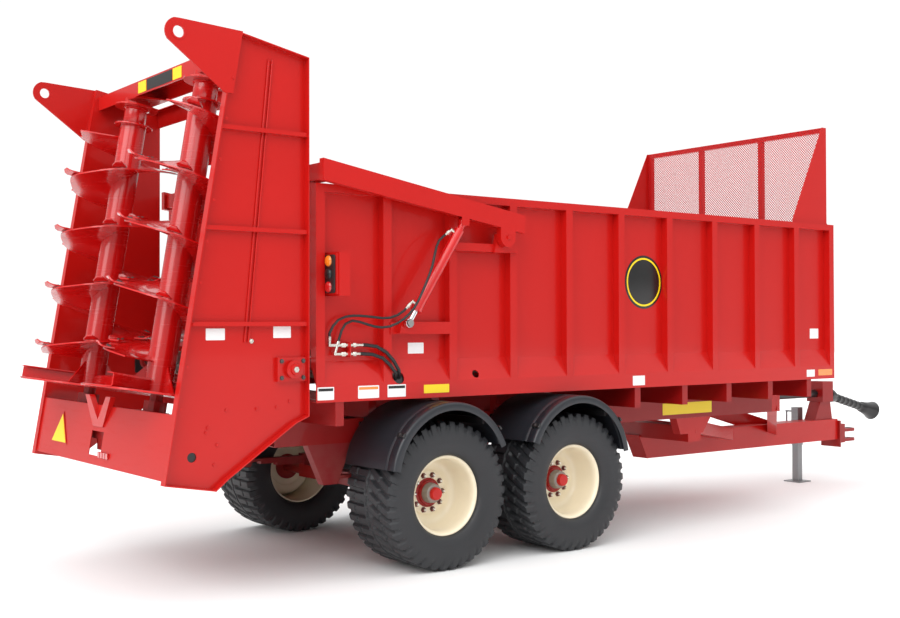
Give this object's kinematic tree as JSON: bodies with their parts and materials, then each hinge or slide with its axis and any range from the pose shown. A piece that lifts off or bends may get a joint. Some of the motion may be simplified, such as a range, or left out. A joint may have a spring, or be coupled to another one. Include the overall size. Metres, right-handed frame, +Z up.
{
  "type": "manure spreader",
  "caption": "Towed vertical-beater manure spreader: ribbed steel box with apron chain, lifting endgate, tandem wheels, spinning beaters, drawbar and jack.",
  "frame": {"origin": "on the ground under the centre of the bounding box, between the two sides", "axes": "+X forwards to the hitch, +Y to the machine's left side, +Z up"},
  "size_m": [10.1244, 2.87, 3.845],
  "materials": {
    "red_paint": "gloss",
    "chassis_paint": "satin",
    "floor_steel": "worn",
    "screen_mesh": "perforated sheet",
    "apron_steel": "worn",
    "shaft_steel": "satin",
    "galvanised": "galvanised",
    "spring_steel": "satin",
    "tyre_rubber": "matte",
    "rim_cream": "gloss",
    "fender_plastic": "moulded",
    "beater_paint": "gloss",
    "cylinder_paint": "gloss",
    "chrome": "polished",
    "zinc_fittings": "zinc plated",
    "hose_rubber": "satin",
    "guard_plastic": "moulded"
  },
  "bodies": {
    "chassis": {"side_wall_right": "red_paint", "side_wall_left": "red_paint", "front_wall": "red_paint", "screen_panel": "screen_mesh", "floor": "floor_steel", "apron": "apron_steel", "apron_drive_shaft": "shaft_steel", "apron_idler_shaft": "shaft_steel", "chassis_frame": "chassis_paint", "drawbar": "red_paint", "hitch_clevis": "chassis_paint", "jack_sleeve": "galvanised", "axle_rear": "chassis_paint", "axle_front": "chassis_paint", "suspension_right": "spring_steel", "suspension_left": "spring_steel", "fenders_right": "fender_plastic", "fenders_left": "fender_plastic", "housing_side_right": "red_paint", "housing_side_left": "red_paint", "top_beam": "red_paint", "top_front_tie": "red_paint", "rear_panel": "red_paint", "gearcase": "chassis_paint", "rear_cross_member": "chassis_paint", "tail_light_right": "red_paint", "tail_light_left": "red_paint", "hose_fittings_right": "zinc_fittings", "hose_fittings_left": "zinc_fittings", "hose_supply_upper_right": "hose_rubber", "hose_supply_upper_left": "hose_rubber", "hose_supply_lower_right": "hose_rubber", "hose_supply_lower_left": "hose_rubber", "hose_cylinder_low_right": "hose_rubber", "hose_cylinder_low_left": "hose_rubber", "hose_cylinder_high_right": "hose_rubber", "hose_cylinder_high_left": "hose_rubber", "driveline_guard": "guard_plastic", "pto_stand": "chassis_paint", "pto_guard": "guard_plastic"},
    "wheel_rear_right": {"tyre_rear_right": "tyre_rubber", "rim_rear_right": "rim_cream"},
    "wheel_rear_left": {"tyre_rear_left": "tyre_rubber", "rim_rear_left": "rim_cream"},
    "wheel_front_right": {"tyre_front_right": "tyre_rubber", "rim_front_right": "rim_cream"},
    "wheel_front_left": {"tyre_front_left": "tyre_rubber", "rim_front_left": "rim_cream"},
    "beater_rotor_right": {"beater_right": "beater_paint"},
    "beater_rotor_left": {"beater_left": "beater_paint"},
    "gate": {"endgate": "red_paint"},
    "cylinder_right": {"gate_cylinder_right": "cylinder_paint"},
    "cylinder_left": {"gate_cylinder_left": "cylinder_paint"},
    "rod_right": {"gate_rod_right": "chrome"},
    "rod_left": {"gate_rod_left": "chrome"},
    "jack": {"jack_leg": "galvanised"},
    "pto": {"pto_yoke": "shaft_steel"}
  },
  "joints": [
    {"name": "wheel_rear_right_turn", "type": "hinge", "parent": "chassis", "child": "wheel_rear_right", "pos_m": [-2.54513, -1.08, 0.56], "axis": [0, 1, 0], "continuous": true},
    {"name": "wheel_rear_left_turn", "type": "hinge", "parent": "chassis", "child": "wheel_rear_left", "pos_m": [-2.54513, 1.08, 0.56], "axis": [0, 1, 0], "continuous": true},
    {"name": "wheel_front_right_turn", "type": "hinge", "parent": "chassis", "child": "wheel_front_right", "pos_m": [-1.24013, -1.08, 0.56], "axis": [0, 1, 0], "continuous": true},
    {"name": "wheel_front_left_turn", "type": "hinge", "parent": "chassis", "child": "wheel_front_left", "pos_m": [-1.24013, 1.08, 0.56], "axis": [0, 1, 0], "continuous": true},
    {"name": "beater_right_turn", "type": "hinge", "parent": "chassis", "child": "beater_rotor_right", "pos_m": [-4.54713, -0.635, 1.375], "axis": [0.1668, 0, 0.986], "continuous": true},
    {"name": "beater_left_turn", "type": "hinge", "parent": "chassis", "child": "beater_rotor_left", "pos_m": [-4.54713, 0.635, 1.375], "axis": [0.1668, 0, 0.986], "continuous": true},
    {"name": "endgate_lift", "type": "hinge", "parent": "chassis", "child": "gate", "pos_m": [-1.95213, 0, 2.528], "axis": [0, 1, 0], "range_deg": [0, 55]},
    {"name": "cylinder_right_swing", "type": "hinge", "parent": "gate", "child": "cylinder_right", "pos_m": [-2.37613, -1.3345, 2.63], "axis": [0, 1, 0], "range_deg": [-53, 0]},
    {"name": "cylinder_left_swing", "type": "hinge", "parent": "gate", "child": "cylinder_left", "pos_m": [-2.37613, 1.3345, 2.63], "axis": [0, 1, 0], "range_deg": [-53, 0]},
    {"name": "rod_right_slide", "type": "slide", "parent": "cylinder_right", "child": "rod_right", "axis": [-0.5547, 0, -0.8321], "range_m": [0, 0.402]},
    {"name": "rod_left_slide", "type": "slide", "parent": "cylinder_left", "child": "rod_left", "axis": [-0.5547, 0, -0.8321], "range_m": [0, 0.402]},
    {"name": "jack_leg_slide", "type": "slide", "parent": "chassis", "child": "jack", "axis": [0, 0, 1], "range_m": [0, 0.3]},
    {"name": "pto_turn", "type": "hinge", "parent": "chassis", "child": "pto", "pos_m": [4.91793, 0, 0.80952], "axis": [0.9695, 0, -0.2452], "continuous": true}
  ],
  "couplings": [
    {"joint": "beater_left_turn", "follows": "beater_right_turn", "ratio": -1},
    {"joint": "cylinder_right_swing", "follows": "endgate_lift", "ratio": -0.96},
    {"joint": "cylinder_left_swing", "follows": "endgate_lift", "ratio": -0.96},
    {"joint": "rod_right_slide", "follows": "endgate_lift", "m_per_rad": 0.4167},
    {"joint": "rod_left_slide", "follows": "endgate_lift", "m_per_rad": 0.4167}
  ]
}
